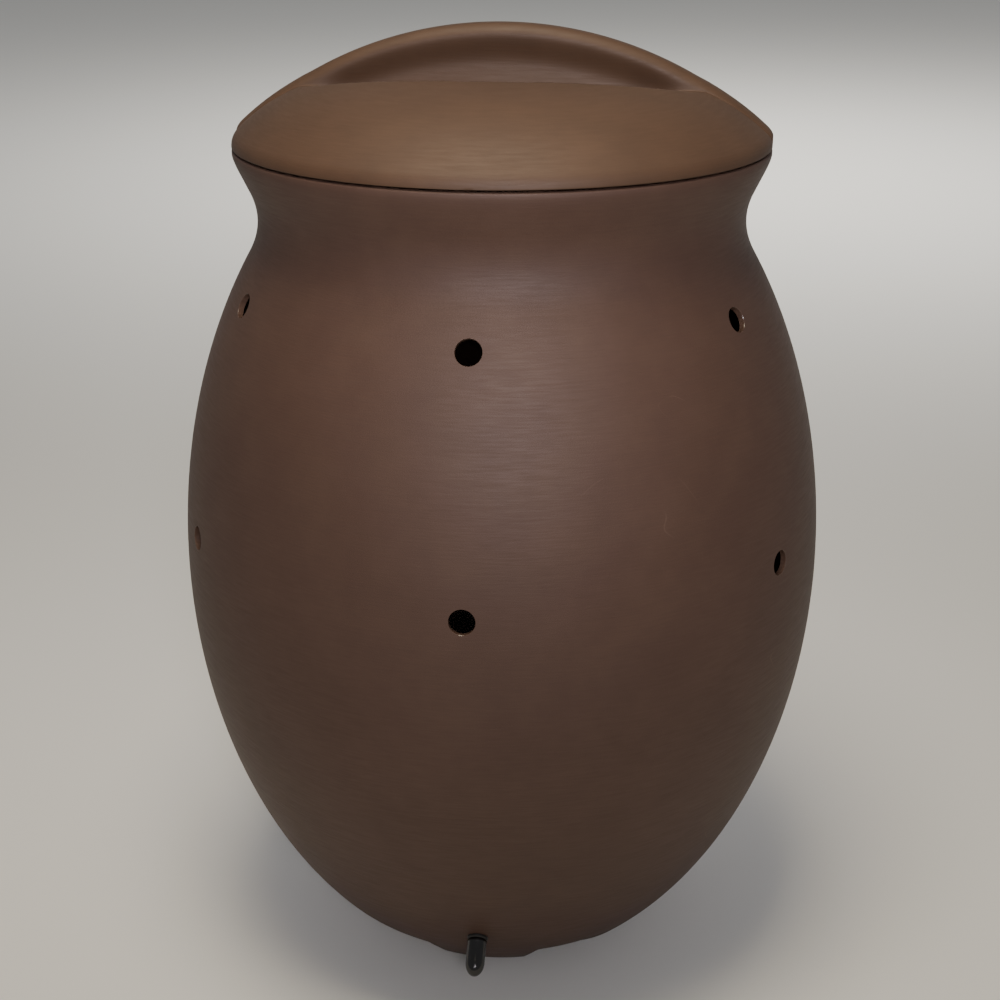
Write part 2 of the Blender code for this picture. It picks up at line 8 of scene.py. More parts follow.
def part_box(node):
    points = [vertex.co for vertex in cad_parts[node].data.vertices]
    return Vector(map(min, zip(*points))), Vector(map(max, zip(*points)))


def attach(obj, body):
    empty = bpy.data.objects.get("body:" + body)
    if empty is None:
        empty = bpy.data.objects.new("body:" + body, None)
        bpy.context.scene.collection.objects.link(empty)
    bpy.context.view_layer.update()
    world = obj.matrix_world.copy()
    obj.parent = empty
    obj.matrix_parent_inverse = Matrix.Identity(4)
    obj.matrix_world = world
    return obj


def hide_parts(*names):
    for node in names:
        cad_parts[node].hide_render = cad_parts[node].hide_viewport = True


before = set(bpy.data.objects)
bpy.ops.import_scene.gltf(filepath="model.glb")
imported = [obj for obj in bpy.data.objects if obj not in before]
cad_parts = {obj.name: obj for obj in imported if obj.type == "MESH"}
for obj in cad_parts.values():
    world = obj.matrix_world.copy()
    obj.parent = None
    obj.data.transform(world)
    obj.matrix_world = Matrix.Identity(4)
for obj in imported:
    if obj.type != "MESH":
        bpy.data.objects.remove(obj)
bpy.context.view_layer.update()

# Vessel: an egg of brown polyethylene, rotomoulded in one piece with its neck, its rim and six feet.
# It comes out of the mould closed at the vents and the drain, which are drilled afterwards.
wall = 0.005
belly_radius = 0.300
belly_half_height = 0.4395
foot_radius = 0.122
foot_inner_radius = 0.088
foot_bend = 0.0035  # width of the bend from the flat foot up into the egg
bottom_rise = 0.012
neck_join_radius = 0.2293  # where the egg hands over to the neck
flare_slope = 0.468  # radius gained per height under the rim
flare_height = 0.035
lip_height = 0.007  # height of the upright band at the top of the flare
lip_bend = 2.4  # lip heights from the rim down to where the flare starts to bend upright
lip_round = 0.0018
shelf_outer = 0.227
shelf_drop = 0.0045
shelf_inner = 0.1955
egg_steps = 96
rim_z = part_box("body_shell")[1][2]
rim_radius = (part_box("lid_cover")[1][0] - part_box("lid_cover")[0][0]) / 2
belly_z = belly_half_height * math.sqrt(1 - (foot_radius / belly_radius) ** 2)
neck_join_z = belly_z + belly_half_height * math.sqrt(1 - (neck_join_radius / belly_radius) ** 2)


def meet(point, along, other, other_along):
    """Where two lines of the section meet."""
    gap = other - point
    cross = along.x * other_along.y - along.y * other_along.x
    return point + along * ((gap.x * other_along.y - gap.y * other_along.x) / cross)


def curve(start, bend, end, count):
    """Points of a quadratic curve, without its first."""
    shares = [(i + 1) / count for i in range(count)]
    return [(1 - t) ** 2 * start + 2 * t * (1 - t) * bend + t * t * end for t in shares]


def egg_section():
    """Outer face from the foot circle up to the lip, as points of (radius, height)."""
    low = math.asin(-belly_z / belly_half_height)
    high = math.asin((neck_join_z - belly_z) / belly_half_height)
    points = [Vector((foot_radius - foot_bend, 0.0)), Vector((foot_radius - 0.001, 0.0006))]
    for i in range(1, egg_steps + 1):
        angle = low + (high - low) * i / egg_steps
        height = belly_z + belly_half_height * math.sin(angle)
        points.append(Vector((belly_radius * math.cos(angle), height)))
    join = points[-1]
    flare = Vector((rim_radius - flare_slope * (flare_height - lip_height), rim_z - flare_height))
    upwards = Vector((flare_slope, 1.0))
    tangent = Vector((-(join.y - belly_z) / belly_half_height**2, join.x / belly_radius**2))
    points += curve(join, meet(join, tangent, flare, upwards), flare, 28)
    lip_low = flare + upwards * (flare_height - lip_bend * lip_height)
    lip = Vector((rim_radius, rim_z - lip_height / 2))
    points += [flare + (lip_low - flare) * t / 4 for t in range(1, 5)]
    points += curve(lip_low, meet(lip_low, upwards, lip, Vector((0, 1.0))), lip, 8)
    return points


def set_in(points, distance):
    """The same section moved inwards by a wall, square to itself."""
    moved = []
    for i, point in enumerate(points):
        along = (points[min(i + 1, len(points) - 1)] - points[max(i - 1, 0)]).normalized()
        moved.append(point + Vector((-along.y, along.x)) * distance)
    return moved


def turn(section, steps):
    """A bmesh of (radius, height) points spun round Z, closed, with its faces outwards."""
    bm = bmesh.new()
    verts = [bm.verts.new((r, 0, z)) for r, z in section]
    edges = [bm.edges.new((verts[i - 1], verts[i])) for i in range(len(verts))]
    for edge in [e for e in edges if all(v.co.x < 1e-6 for v in e.verts)]:
        bm.edges.remove(edge)
    bmesh.ops.spin(bm, geom=verts + bm.edges[:], cent=(0, 0, 0), axis=(0, 0, 1), angle=math.tau,
                   steps=steps, use_merge=True)
    bmesh.ops.remove_doubles(bm, verts=bm.verts, dist=1e-6)
    bmesh.ops.recalc_face_normals(bm, faces=bm.faces)
    return bm


def make(name, bm, *finishes, sharp=30):
    """An object from a bmesh, shaded smooth apart from its sharp edges."""
    mesh = bpy.data.meshes.new(name)
    bm.to_mesh(mesh)
    bm.free()
    obj = bpy.data.objects.new(name, mesh)
    bpy.context.scene.collection.objects.link(obj)
    for finish in finishes:
        mesh.materials.append(finish)
    mesh.shade_smooth()
    mesh.set_sharp_from_angle(angle=math.radians(sharp))
    return obj


def combine(obj, bm, operation="DIFFERENCE", finish=None):
    """Cuts a bmesh's solid out of obj or joins it to obj, and applies the result."""
    tool = make(obj.name + "_tool", bm, *([finish] if finish else []))
    modifier = obj.modifiers.new("combine", "BOOLEAN")
    modifier.operation = operation
    modifier.solver = "EXACT"
    modifier.material_mode = "TRANSFER" if finish else "INDEX"
    modifier.object = tool
    graph = bpy.context.evaluated_depsgraph_get()
    mesh = bpy.data.meshes.new_from_object(obj.evaluated_get(graph))
    obj.modifiers.clear()
    obj.data = mesh
    bpy.data.objects.remove(tool)
    mesh.shade_smooth()
    mesh.set_sharp_from_angle(angle=math.radians(30))


def linear(colour):
    """An sRGB hex colour as linear RGBA."""
    channels = [int(colour[i:i + 2], 16) / 255 for i in (0, 2, 4)]
    return (*[c / 12.92 if c <= 0.04045 else ((c + 0.055) / 1.055) ** 2.4 for c in channels], 1.0)


def add(material, kind, values=None, links=None, **settings):
    """Adds a node with its settings, its inputs' values and the sockets that feed its inputs."""
    made = material.node_tree.nodes.new("ShaderNode" + kind)
    for key, value in settings.items():
        setattr(made, key, value)
    for key, value in (values or {}).items():
        made.inputs[key].default_value = value
    for key, socket in (links or {}).items():
        material.node_tree.links.new(socket, made.inputs[key])
    return made


def polyethylene(name, base, light, dark, scuffs):
    """Rotomoulded polyethylene: pigmented powder fused against a brushed steel mould.

    It shows the mould's fine level brush marks, a faint mottle of the powder, a broad dull sheen and
    a few pale hairline scuffs.
    The real marks are under 1 mm apart, and are drawn 1.5 mm apart so that they show.
    """
    material = bpy.data.materials.new(name)
    material.use_nodes = True
    shader = material.node_tree.nodes["Principled BSDF"]
    place = add(material, "TexCoord").outputs["Object"]
    streaked = add(material, "Mapping", {"Scale": (38.0, 38.0, 620.0)}, {"Vector": place})
    brush = add(material, "TexNoise", {"Scale": 1.0, "Detail": 3.0, "Roughness": 0.6},
                {"Vector": streaked.outputs[0]})
    grain = add(material, "TexNoise", {"Scale": 900.0, "Detail": 2.0}, {"Vector": place})
    mottle = add(material, "TexNoise", {"Scale": 22.0, "Detail": 5.0, "Roughness": 0.62},
                 {"Vector": place})
    cloud = add(material, "TexNoise", {"Scale": 3.5, "Detail": 2.0}, {"Vector": place})
    brush_share = add(material, "MapRange", {"From Min": 0.34, "From Max": 0.68},
                      {"Value": brush.outputs[0]})
    mottle_share = add(material, "MapRange", {"From Min": 0.35, "From Max": 0.68},
                       {"Value": mottle.outputs[0]})
    tone = add(material, "Mix", {6: linear(base), 7: linear(light)}, {0: mottle_share.outputs[0]},
               data_type="RGBA")
    shade = add(material, "MapRange", {"From Min": 0.3, "From Max": 0.7, "To Min": 0.0, "To Max": 0.35},
                {"Value": cloud.outputs[0]})
    toned = add(material, "Mix", {7: linear(dark)}, {0: shade.outputs[0], 6: tone.outputs[2]},
                data_type="RGBA")
    scratch = add(material, "TexNoise", {"Scale": 7.0, "Detail": 1.0, "Distortion": 1.5},
                  {"Vector": place})
    off_line = add(material, "Math", {1: 0.5}, {0: scratch.outputs[0]}, operation="SUBTRACT")
    off_line = add(material, "Math", {}, {0: off_line.outputs[0]}, operation="ABSOLUTE")
    scuff_line = add(material, "MapRange", {"From Max": 0.0014, "To Min": 1.0, "To Max": 0.0},
                     {"Value": off_line.outputs[0]})
    patch = add(material, "TexNoise", {"Scale": 16.0, "Detail": 2.0}, {"Vector": place})
    scuff_patch = add(material, "MapRange", {"From Min": 0.64, "From Max": 0.74},
                      {"Value": patch.outputs[0]})
    scuff = add(material, "Math", {}, {0: scuff_line.outputs[0], 1: scuff_patch.outputs[0]},
                operation="MULTIPLY")
    scuffed = add(material, "Mix", {7: linear(scuffs)}, {0: scuff.outputs[0], 6: toned.outputs[2]},
                  data_type="RGBA")
    streak = add(material, "MapRange", {"To Min": 0.0, "To Max": 0.16}, {"Value": brush_share.outputs[0]})
    colour = add(material, "Mix", {7: linear(dark)}, {0: streak.outputs[0], 6: scuffed.outputs[2]},
                 data_type="RGBA")
    sheen = add(material, "MapRange", {"To Min": 0.58, "To Max": 0.66}, {"Value": brush_share.outputs[0]})
    relief = add(material, "Bump", {"Strength": 0.18, "Distance": 0.0006}, {"Height": brush.outputs[0]})
    fine = add(material, "Bump", {"Strength": 0.25, "Distance": 0.0003},
               {"Height": grain.outputs[0], "Normal": relief.outputs[0]})
    links = material.node_tree.links
    links.new(colour.outputs[2], shader.inputs["Base Color"])
    links.new(sheen.outputs[0], shader.inputs["Roughness"])
    links.new(fine.outputs[0], shader.inputs["Normal"])
    shader.inputs["IOR"].default_value = 1.51
    shader.inputs["Specular IOR Level"].default_value = 0.35
    return material


vessel_plastic = polyethylene("rotomoulded_polyethylene", "432f26", "48342a", "36261e", "59453a")

# The cut rim of a drilled hole in polyethylene: it is burnished by the drill, so it is smoother,
# and a little paler than the moulded skin.
drilled_edge = bpy.data.materials.new("drilled_polyethylene")
drilled_edge.use_nodes = True
edge_shader = drilled_edge.node_tree.nodes["Principled BSDF"]
edge_shader.inputs["IOR"].default_value = 1.51
edge_place = add(drilled_edge, "TexCoord").outputs["Object"]
edge_rings = add(drilled_edge, "TexNoise", {"Scale": 420.0, "Detail": 3.0}, {"Vector": edge_place})
edge_tone = add(drilled_edge, "Mix", {6: linear("3a2b24"), 7: linear("544238")},
                {0: edge_rings.outputs[0]}, data_type="RGBA")
edge_relief = add(drilled_edge, "Bump", {"Strength": 0.5, "Distance": 0.0003},
                  {"Height": edge_rings.outputs[0]})
drilled_edge.node_tree.links.new(edge_tone.outputs[2], edge_shader.inputs["Base Color"])
drilled_edge.node_tree.links.new(edge_relief.outputs[0], edge_shader.inputs["Normal"])
edge_shader.inputs["Roughness"].default_value = 0.24

outside = egg_section()
inside = [p for p in set_in(outside[2:], wall) if p.y < rim_z - shelf_drop - 2 * wall]
recess = foot_inner_radius - bottom_rise
shelf_z = rim_z - shelf_drop
vessel_section = [
    # the raised middle of the base and the flat foot round it
    Vector((0, bottom_rise)),
    Vector((recess - 0.012, bottom_rise)),
    Vector((recess - 0.003, bottom_rise - 0.0006)),
    Vector((recess, bottom_rise - 0.002)),
    Vector((foot_inner_radius - 0.003, 0.0020)),
    Vector((foot_inner_radius, 0.0004)),
    Vector((foot_inner_radius + 0.003, 0.0)),
    Vector(((foot_inner_radius + foot_radius) / 2, 0.0)),
    *outside,
    # the rim, and the shelf inside it that carries the mouth ring
    *[Vector((rim_radius - lip_round * (1 - math.cos(a)), rim_z - lip_round * (1 - math.sin(a))))
      for a in [math.radians(18 * i) for i in range(6)]],
    Vector((shelf_outer + 0.0008, rim_z)),
    Vector((shelf_outer, rim_z - 0.0008)),
    Vector((shelf_outer, shelf_z)),
    Vector((shelf_inner, shelf_z)),
    Vector((shelf_inner, shelf_z - wall + 0.001)),
    Vector((shelf_inner + 0.001, shelf_z - wall)),
    Vector((shelf_outer - 0.006, shelf_z - wall)),
    # the inner face, back down to the base
    *inside[::-1],
    Vector((foot_radius - 2 * wall, wall)),
    Vector((foot_inner_radius + wall, wall)),
    Vector((recess, bottom_rise + wall - 0.001)),
    Vector((recess - 0.006, bottom_rise + wall)),
    Vector((0, bottom_rise + wall)),
]
shell_mesh = turn([(p.x, p.y) for p in vessel_section], 240)

# Feet: six pads of the vessel's own foot ring. They are left standing where the mould presses shallow
# grooves into the bottom between them, which fade out a little way up the wall.
foot_count = 6
foot_half_angle = math.radians(17.0)
groove_edge = math.radians(1.5)
groove_depth = 0.009
groove_reach = 0.190
groove_inner = foot_inner_radius - bottom_rise / 2
groove_top = 0.1  # above this the wall is never pressed in


def ease(value, start, end):
    """Rises softly from 0 at start to 1 at end."""
    t = min(1.0, max(0.0, (value - start) / (end - start)))
    return t * t * (3 - 2 * t)


sector = math.tau / foot_count
for vert in shell_mesh.verts:
    radius = math.hypot(vert.co.x, vert.co.y)
    if radius < groove_inner or vert.co.z > groove_top:
        continue
    off_foot = abs((math.atan2(vert.co.x, -vert.co.y) + sector / 2) % sector - sector / 2)
    share = ease(off_foot, foot_half_angle - groove_edge, foot_half_angle + groove_edge)
    share *= 1 - ease(radius, foot_radius + 0.01, groove_reach)
    vert.co.z += groove_depth * share * ease(radius, groove_inner, foot_inner_radius)
shell = make("vessel", shell_mesh, vessel_plastic, drilled_edge)

# Air vents: two rows of six holes that let air into the compost. They are drilled square to the wall,
# as the drain's hole is, and broken at the edge with a knife.
vent_radius = 0.011
vent_rows = (0.048, 0.256)  # heights over the widest part of the belly
edge_break = 0.0005
drain_height = 0.086
barrel_radius = 0.0070


def wall_place(z):
    """A frame on the front of the egg at a height, with its Z square to the wall, outwards."""
    share = (z - belly_z) / belly_half_height
    radius = belly_radius * math.sqrt(1 - share * share)
    tilt = math.atan2(radius / belly_radius**2, share / belly_half_height)
    return Matrix.Translation((0, -radius, z)) @ Matrix.Rotation(tilt, 4, "X")


def around(count, first=0.0):
    """Rotations about Z, evenly spaced, starting at an angle from the front."""
    return [Matrix.Rotation(first + math.tau * i / count, 4, "Z") for i in range(count)]


def drill(radius, place):
    """The solid that a drill removes from the wall, with the broken edge."""
    over = 0.003
    deep = wall + 0.004
    bm = turn([
        (0, over), (radius + edge_break + over, over), (radius + edge_break, 0.0002),
        (radius, -edge_break), (radius, -deep), (0, -deep),
    ], 40)
    bmesh.ops.transform(bm, matrix=place, verts=bm.verts)
    return bm


def gather(parts):
    """One bmesh from several."""
    whole = bmesh.new()
    for part in parts:
        mesh = bpy.data.meshes.new("part")
        part.to_mesh(mesh)
        part.free()
        whole.from_mesh(mesh)
        bpy.data.meshes.remove(mesh)
    return whole


drills = [drill(vent_radius, place @ wall_place(belly_z + row))
          for row in vent_rows for place in around(6)]
drills.append(drill(barrel_radius + 0.0005, wall_place(drain_height)))
combine(shell, gather(drills), finish=drilled_edge)
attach(shell, "vessel")
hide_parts("body_shell")

# Threaded rings: injection-moulded nylon, one screwed on the shelf inside the rim and one under the
# lid. Six lugs on each slide past each other on a quick thread, so the lid opens in a sixth of a turn.
ring_plate = 0.004
lug_angle = math.radians(44)
lug_height = 0.007
lug_reach = 0.0062
lug_lead = 0.120  # rise of the thread in one turn
lug_steps = 22
mouth_low, mouth_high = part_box("mouth_ring")[0][2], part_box("mouth_ring")[1][2]
lid_low, lid_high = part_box("lid_ring")[0][2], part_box("lid_ring")[1][2]
mouth_bore = shelf_inner - 0.005
flange_radius = shelf_outer - 0.001
lid_ring_outer = mouth_bore - 0.008
lid_ring_bore = lid_ring_outer - ring_plate
lid_lug_z = lid_low + 0.0025
mouth_lug_z = lid_lug_z + lug_height + 0.0005

ring_nylon = bpy.data.materials.new("moulded_nylon")  # even, smooth and faintly waxy
ring_nylon.use_nodes = True
nylon_shader = ring_nylon.node_tree.nodes["Principled BSDF"]
nylon_place = add(ring_nylon, "TexCoord").outputs["Object"]
nylon_noise = add(ring_nylon, "TexNoise", {"Scale": 260.0, "Detail": 3.0}, {"Vector": nylon_place})
nylon_tone = add(ring_nylon, "Mix", {6: linear("3b322e"), 7: linear("4a3f39")},
                 {0: nylon_noise.outputs[0]}, data_type="RGBA")
nylon_relief = add(ring_nylon, "Bump", {"Strength": 0.2, "Distance": 0.0002},
                   {"Height": nylon_noise.outputs[0]})
ring_nylon.node_tree.links.new(nylon_tone.outputs[2], nylon_shader.inputs["Base Color"])
ring_nylon.node_tree.links.new(nylon_relief.outputs[0], nylon_shader.inputs["Normal"])
nylon_shader.inputs["Roughness"].default_value = 0.4
nylon_shader.inputs["IOR"].default_value = 1.53


def lugs(inner, outer, low, points_in):
    """Six helical lugs with flanks that slope to the tip, each swept up along the thread."""
    rise = lug_lead * lug_angle / math.tau
    high = low + lug_height
    slope = 0.0012
    if points_in:
        section = [(inner, low + slope), (outer, low), (outer, high), (inner, high - slope)]
    else:
        section = [(inner, low), (outer, low + slope), (outer, high - slope), (inner, high)]
    bm = bmesh.new()
    for place in around(6, -lug_angle / 2):
        face = bm.faces.new([bm.verts.new(place @ Vector((0, -r, z))) for r, z in section])
        bmesh.ops.spin(bm, geom=[face, *face.edges, *face.verts], cent=(0, 0, 0), axis=(0, 0, 1),
                       dvec=(0, 0, rise / lug_steps), angle=lug_angle, steps=lug_steps)
    bmesh.ops.recalc_face_normals(bm, faces=bm.faces)
    return bm


def broken(points):
    """A closed section with its corners broken by 0.6 mm."""
    found = []
    for i, point in enumerate(points):
        here = Vector(point)
        for other in (points[i - 1], points[(i + 1) % len(points)]):
            found.append(tuple(here + (Vector(other) - here).normalized() * 0.0006))
    return found


mouth_ring = make("mouth_ring_fine", turn(broken([
    (flange_radius, mouth_high), (flange_radius, mouth_high - ring_plate),
    (mouth_bore + ring_plate, mouth_high - ring_plate), (mouth_bore + ring_plate, mouth_low),
    (mouth_bore, mouth_low), (mouth_bore, mouth_high),
]), 192), ring_nylon)
mouth_lugs = lugs(mouth_bore - lug_reach, mouth_bore + ring_plate / 2, mouth_lug_z, True)
combine(mouth_ring, mouth_lugs, "UNION")
lid_ring = make("lid_ring_fine", turn(broken([
    (flange_radius, lid_high), (flange_radius, lid_high - ring_plate),
    (lid_ring_outer, lid_high - ring_plate), (lid_ring_outer, lid_low),
    (lid_ring_bore, lid_low), (lid_ring_bore, lid_high),
]), 192), ring_nylon)
lid_lugs = lugs(lid_ring_outer - ring_plate / 2, lid_ring_outer + lug_reach, lid_lug_z, False)
combine(lid_ring, lid_lugs, "UNION")

# Screws: twelve countersunk socket screws of stainless steel, turned and then broached for their keys.
# Six hold each ring, and their hexagon nuts sit behind the wall.
screw_radius = 0.0024
head_radius = 0.0046
head_height = 0.0024
socket_radius = 0.0017
socket_depth = 0.003  # of the cutter, which stands half out of the head
stainless = bpy.data.materials.new("turned_stainless")  # fine turning marks
stainless.use_nodes = True
steel_shader = stainless.node_tree.nodes["Principled BSDF"]
steel_place = add(stainless, "TexCoord").outputs["Object"]
steel_noise = add(stainless, "TexNoise", {"Scale": 1500.0, "Detail": 2.0}, {"Vector": steel_place})
steel_rough = add(stainless, "MapRange", {"To Min": 0.24, "To Max": 0.42},
                  {"Value": steel_noise.outputs[0]})
stainless.node_tree.links.new(steel_rough.outputs[0], steel_shader.inputs["Roughness"])
steel_shader.inputs["Base Color"].default_value = linear("b9b8b4")
steel_shader.inputs["Metallic"].default_value = 1.0


def screw_place(name, points_up):
    """The frame of a CAD screw, from the middle of its box and its head's face."""
    low, high = (Vector(corner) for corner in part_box(name))
    middle = (low + high) / 2
    middle.z = low.z if points_up else high.z
    turned_over = Matrix.Identity(4) if points_up else Matrix.Rotation(math.pi, 4, "X")
    return Matrix.Translation(middle) @ turned_over, high.z - low.z


def countersunk_hole(place):
    """The solid that a countersink removes from a ring, with a little room round the screw."""
    hole, deep, over = screw_radius + 0.0005, 0.009, 0.0008
    bm = turn([
        (0, deep), (hole, deep), (hole, head_height), (head_radius + 0.0007, -over), (0, -over),
    ], 24)
    bmesh.ops.transform(bm, matrix=place, verts=bm.verts)
    return bm


ring_sets = ((mouth_ring, "mouth", False, "vessel"), (lid_ring, "lid", True, "lid"))
for ring, group, points_up, body in ring_sets:
    places = [screw_place(f"{group}_screw_{i}", points_up)[0] for i in range(1, 7)]
    combine(ring, gather([countersunk_hole(place) for place in places]))
    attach(ring, body)
    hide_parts(group + "_ring")
    for i in range(1, 7):
        place, length = screw_place(f"{group}_screw_{i}", points_up)
        screw_mesh = turn([
            (0, length), (screw_radius - 0.0005, length), (screw_radius, length - 0.0006),
            (screw_radius, head_height), (head_radius, 0.0004), (head_radius - 0.0002, 0.0), (0, 0.0),
        ], 24)
        bmesh.ops.transform(screw_mesh, matrix=place, verts=screw_mesh.verts)
        screw = make(f"{group}_screw_fine_{i}", screw_mesh, stainless)
        socket = bmesh.new()
        bmesh.ops.create_cone(socket, cap_ends=True, segments=6, radius1=socket_radius,
                              radius2=socket_radius, depth=socket_depth, matrix=place)
        combine(screw, socket)
        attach(screw, body)
        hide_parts(f"{group}_screw_{i}")
        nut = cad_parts[f"{group}_nut_{i}"]
        nut.data.materials.clear()
        nut.data.materials.append(stainless)

# Lid cover: a hollow rotomoulded cap of the same brown plastic. Its colours are the vessel's made less
# blue, as painted warm light from the overhead lamp. A ridge across it is its grip, with a finger scoop
# on each side, and all its edges are soft because the powder fills a mould only round bends.
lid_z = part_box("lid_cover")[0][2]
seam_z = (lid_z + rim_z) / 2
seat_z = lid_high + 0.0003
dome_height = 0.0655
dome_span = 0.2465
dome_power = 4.0
edge_radius = 0.0155
ridge_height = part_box("lid_cover")[1][2] - seam_z
ridge_curve = 0.353
ridge_half_width = 0.017
ridge_round = 0.0125
round_end = 0.985  # share of the crest's round that is used before the straight side
round_drop = 0.83  # height that the round has lost there, as a share of its radius
ridge_draft = 9.0  # height lost per width on the ridge's sides
undercut = 0.010  # how far the fingers reach in under the crest
scoop_length, scoop_width, scoop_depth = 0.178, 0.078, 0.030
lip_blend, foot_blend = 0.020, 0.012  # heights of the bends at the scoop's lip and the ridge's foot
lid_hole_radius = lid_ring_bore + 0.002


def dome_slope(r):
    """Angle of the dome at a radius, before its edge is rounded."""
    return math.atan(dome_height * dome_power / dome_span * (r / dome_span) ** (dome_power - 1))


edge_start = rim_radius
for _ in range(20):
    edge_start = rim_radius - edge_radius * (1 - math.sin(dome_slope(edge_start)))


def dome_top(r):
    """Height of the low dome over the seam, with its round edge."""
    if r < edge_start:
        return dome_height * (1 - (r / dome_span) ** dome_power)
    lean = dome_slope(edge_start)
    reach = min(1.0, math.sin(lean) + (r - edge_start) / edge_radius)
    drop = edge_radius * (math.cos(lean) - math.sqrt(1 - reach * reach))
    return dome_height * (1 - (edge_start / dome_span) ** dome_power) - drop


def soft_low(a, b, blend):
    """The lower of two heights, with a round bend where they cross."""
    share = max(blend - abs(a - b), 0.0) / blend
    return min(a, b) - share * share * blend / 4


def crest_height(x):
    """Height of the ridge's crest over the seam."""
    return ridge_height - ridge_curve + math.sqrt(ridge_curve**2 - x * x)


def lid_height(x, y):
    """Height of the lid's outer face over the seam."""
    dome = dome_top(math.hypot(x, y))
    beside = (abs(y) - ridge_half_width * 0.6) / scoop_width
    inside_scoop = 1 - (x / scoop_length) ** 2 - beside**2
    hollowed = math.sqrt(inside_scoop) if inside_scoop > 0 else inside_scoop * 3
    low = soft_low(dome, dome_height - scoop_depth * hollowed, lip_blend)
    crest = crest_height(x)
    past = abs(y) - (ridge_half_width - ridge_round)
    if past < 0:
        blade = crest
    elif past < ridge_round * round_end:
        blade = crest - ridge_round + math.sqrt(ridge_round**2 - past * past)
    else:
        blade = crest - ridge_round * round_drop - (past - ridge_round * round_end) * ridge_draft
    return -soft_low(-low, -blade, foot_blend)


# The skin is a grid warped onto the lid's circle. Its rows are close together on the ridge's crest and
# closest on its steep side and foot.
columns, rows = 150, 230
crest_rows, side_rows = 26, 28
crest_width, side_width = 0.0168, 0.0077
ridge_rows = crest_rows + side_rows
outer_rows = rows // 2 - ridge_rows
grid = bmesh.new()
bmesh.ops.create_grid(grid, x_segments=columns, y_segments=rows, size=1.0)
stations = [crest_width * i / crest_rows for i in range(crest_rows + 1)]
stations += [crest_width + side_width * i / side_rows for i in range(1, side_rows + 1)]
for i in range(1, outer_rows + 1):
    t = i / outer_rows
    start = math.asin(stations[ridge_rows] / rim_radius)
    stations.append(rim_radius * math.sin(start + (math.pi / 2 - start) * t ** 1.15))
for vert in grid.verts:
    row = round(abs(vert.co.y) * rows / 2)
    y = math.copysign(stations[row], vert.co.y)
    x = math.sqrt(max(0.0, rim_radius**2 - y * y)) * math.sin(vert.co.x * math.pi / 2)
    height = lid_height(x, y)
    # The undercut is fullest on the steep side. It fades out at the crest, low down and at the ends.
    side = ease(abs(y), 0.011, 0.0175) * (1 - ease(abs(y), 0.0175, 0.034))
    hollow = ease(crest_height(x) - height, 0.005, 0.036) * ease(height, 0.032, 0.044)
    hollow *= ease(crest_height(x) - dome_height, -0.010, 0.012)
    vert.co = (x, y - math.copysign(undercut * side * hollow, y), seam_z + height)
bmesh.ops.remove_doubles(grid, verts=grid.verts, dist=1e-6)
# Below the seam the skin turns in under the rim, up inside the flange and across to the ring's bore.
lid_section = [
    (rim_radius - 0.0004, lid_z), (rim_radius - 0.0030, lid_z),
    (shelf_outer, lid_z), (shelf_outer, seat_z), (lid_hole_radius, seat_z),
]
for r, z in lid_section:
    border = [edge for edge in grid.edges if edge.is_boundary]
    made = bmesh.ops.extrude_edge_only(grid, edges=border)
    for vert in [g for g in made["geom"] if isinstance(g, bmesh.types.BMVert)]:
        away = Vector((vert.co.x, vert.co.y)).normalized() * r
        vert.co = (away.x, away.y, z)
bmesh.ops.recalc_face_normals(grid, faces=grid.faces)
# Painted light: the lid's browns are the vessel's made less blue, a painted warm tint for the overhead
# lamp's light; its brush marks, mottle and scuffs are the plastic's own.
lid_plastic_painted_warm_light = polyethylene("rotomoulded_polyethylene_lid_painted_warm_light", "412d1e", "473222", "352619", "594334")
lid = make("lid", grid, lid_plastic_painted_warm_light, sharp=50)
skin = lid.modifiers.new("wall", "SOLIDIFY")
skin.thickness = wall
skin.offset = -1.0
skin.use_quality_normals = True
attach(lid, "lid")
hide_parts("lid_cover")

# Seal: a flat ring of black rubber, cut from sheet. It is stuck under the lid's flange and meets the
# mouth ring when the lid is screwed down.
seal_low, seal_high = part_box("lid_seal")[0][2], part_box("lid_seal")[1][2]
seal_outer = (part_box("lid_seal")[1][0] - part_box("lid_seal")[0][0]) / 2
seal_inner = seal_outer - 0.012
rubber = bpy.data.materials.new("black_rubber")  # dull, with a bloom
rubber.use_nodes = True
rubber_shader = rubber.node_tree.nodes["Principled BSDF"]
rubber_place = add(rubber, "TexCoord").outputs["Object"]
rubber_noise = add(rubber, "TexNoise", {"Scale": 340.0, "Detail": 4.0}, {"Vector": rubber_place})
rubber_tone = add(rubber, "Mix", {6: linear("161616"), 7: linear("262524")},
                  {0: rubber_noise.outputs[0]}, data_type="RGBA")
rubber.node_tree.links.new(rubber_tone.outputs[2], rubber_shader.inputs["Base Color"])
rubber_shader.inputs["Roughness"].default_value = 0.75
seal = make("seal", turn(broken([
    (seal_outer, seal_high), (seal_outer, seal_low), (seal_inner, seal_low), (seal_inner, seal_high),
]), 192), rubber)
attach(seal, "seal")
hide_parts("lid_seal")

